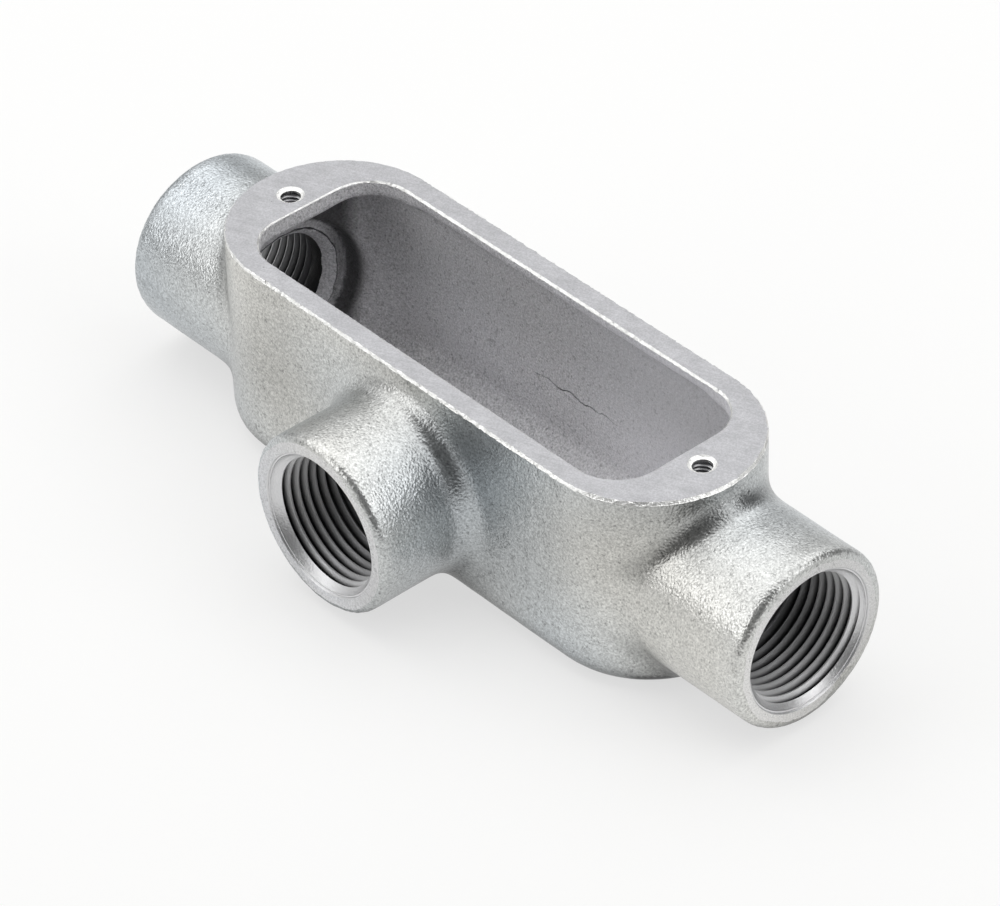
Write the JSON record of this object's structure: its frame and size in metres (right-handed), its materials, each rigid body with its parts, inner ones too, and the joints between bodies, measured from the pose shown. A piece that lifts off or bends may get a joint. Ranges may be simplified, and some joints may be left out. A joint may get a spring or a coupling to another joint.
{
  "type": "conduit body",
  "caption": "T-shaped cast iron conduit body: long open wiring chamber with a flat cover face, threaded hubs at both ends and one on the side, tapped holes for a cover.",
  "frame": {"origin": "on the flat back, under the crossing of the run axis and the branch axis", "axes": "+X along the run from hub to hub, -Y along the branch hub, +Z out of the cover face"},
  "size_m": [0.155, 0.0589, 0.04],
  "materials": {
    "zinc_plated_iron": "malleable iron, sand cast skin, bright zinc electroplate"
  },
  "bodies": {
    "root": {"body_casting": "zinc_plated_iron"}
  },
  "joints": []
}
